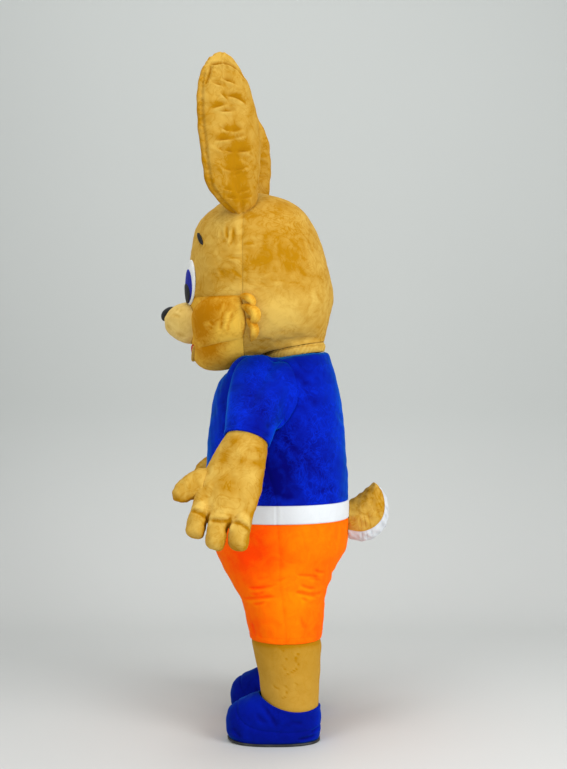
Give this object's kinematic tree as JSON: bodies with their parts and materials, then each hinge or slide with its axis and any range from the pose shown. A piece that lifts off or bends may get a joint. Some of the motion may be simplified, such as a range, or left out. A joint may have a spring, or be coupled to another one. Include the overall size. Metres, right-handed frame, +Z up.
{
  "type": "rabbit mascot costume",
  "caption": "Whole plush rabbit mascot costume as worn: big foam head with tall ears, blue shirt, white belt, orange shorts, gloves, tail and slip-on shoes",
  "frame": {"origin": "level with the wearer's shoulders, on the centre line over the shoes' heels, where the body carries the costume; the soles rest on the floor 1.35 m below it", "axes": "+Z up from the shoes to the ears, the face and toes to -Y, the rabbit's left to +X"},
  "size_m": [1.115, 0.8491, 2.466],
  "materials": {
    "tan_plush": "napped plush",
    "ochre_plush": "napped plush",
    "cream_plush": "napped plush",
    "white_plush": "napped plush",
    "blue_velour": "velour",
    "orange_plush": "napped plush",
    "shoe_plush": "velour",
    "black_felt": "felt",
    "iris_blue": "felt",
    "eye_white": "felt",
    "mouth_red": "felt",
    "sole_rubber": "matte moulded rubber"
  },
  "bodies": {
    "root": {"belt_back": "white_plush", "belt_front": "white_plush", "brow_left": "black_felt", "brow_right": "black_felt", "cheek_left": "ochre_plush", "cheek_right": "ochre_plush", "ear_inner_left": "tan_plush", "ear_inner_right": "tan_plush", "ear_outer_left": "tan_plush", "ear_outer_right": "tan_plush", "eye_white_left": "eye_white", "eye_white_right": "eye_white", "glove_back_left": "tan_plush", "glove_back_right": "tan_plush", "glove_palm_left": "tan_plush", "glove_palm_right": "tan_plush", "glove_thumb_left": "tan_plush", "glove_thumb_right": "tan_plush", "head_back_left": "tan_plush", "head_back_right": "tan_plush", "head_face": "tan_plush", "iris_left": "iris_blue", "iris_right": "iris_blue", "jaw": "ochre_plush", "leg_left": "tan_plush", "leg_right": "tan_plush", "lower_lip": "tan_plush", "mouth": "mouth_red", "muzzle_left": "cream_plush", "muzzle_right": "cream_plush", "neck_band": "tan_plush", "nose": "black_felt", "pupil_left": "black_felt", "pupil_right": "black_felt", "shirt_back_left": "blue_velour", "shirt_back_right": "blue_velour", "shirt_front": "blue_velour", "shoe_band_left": "shoe_plush", "shoe_band_right": "shoe_plush", "shoe_vamp_left": "shoe_plush", "shoe_vamp_right": "shoe_plush", "shorts_back_left": "orange_plush", "shorts_back_right": "orange_plush", "shorts_front_left": "orange_plush", "shorts_front_right": "orange_plush", "sleeve_left": "blue_velour", "sleeve_right": "blue_velour", "sole_left": "sole_rubber", "sole_right": "sole_rubber", "tail_top": "tan_plush", "tail_underside": "white_plush"}
  },
  "joints": []
}
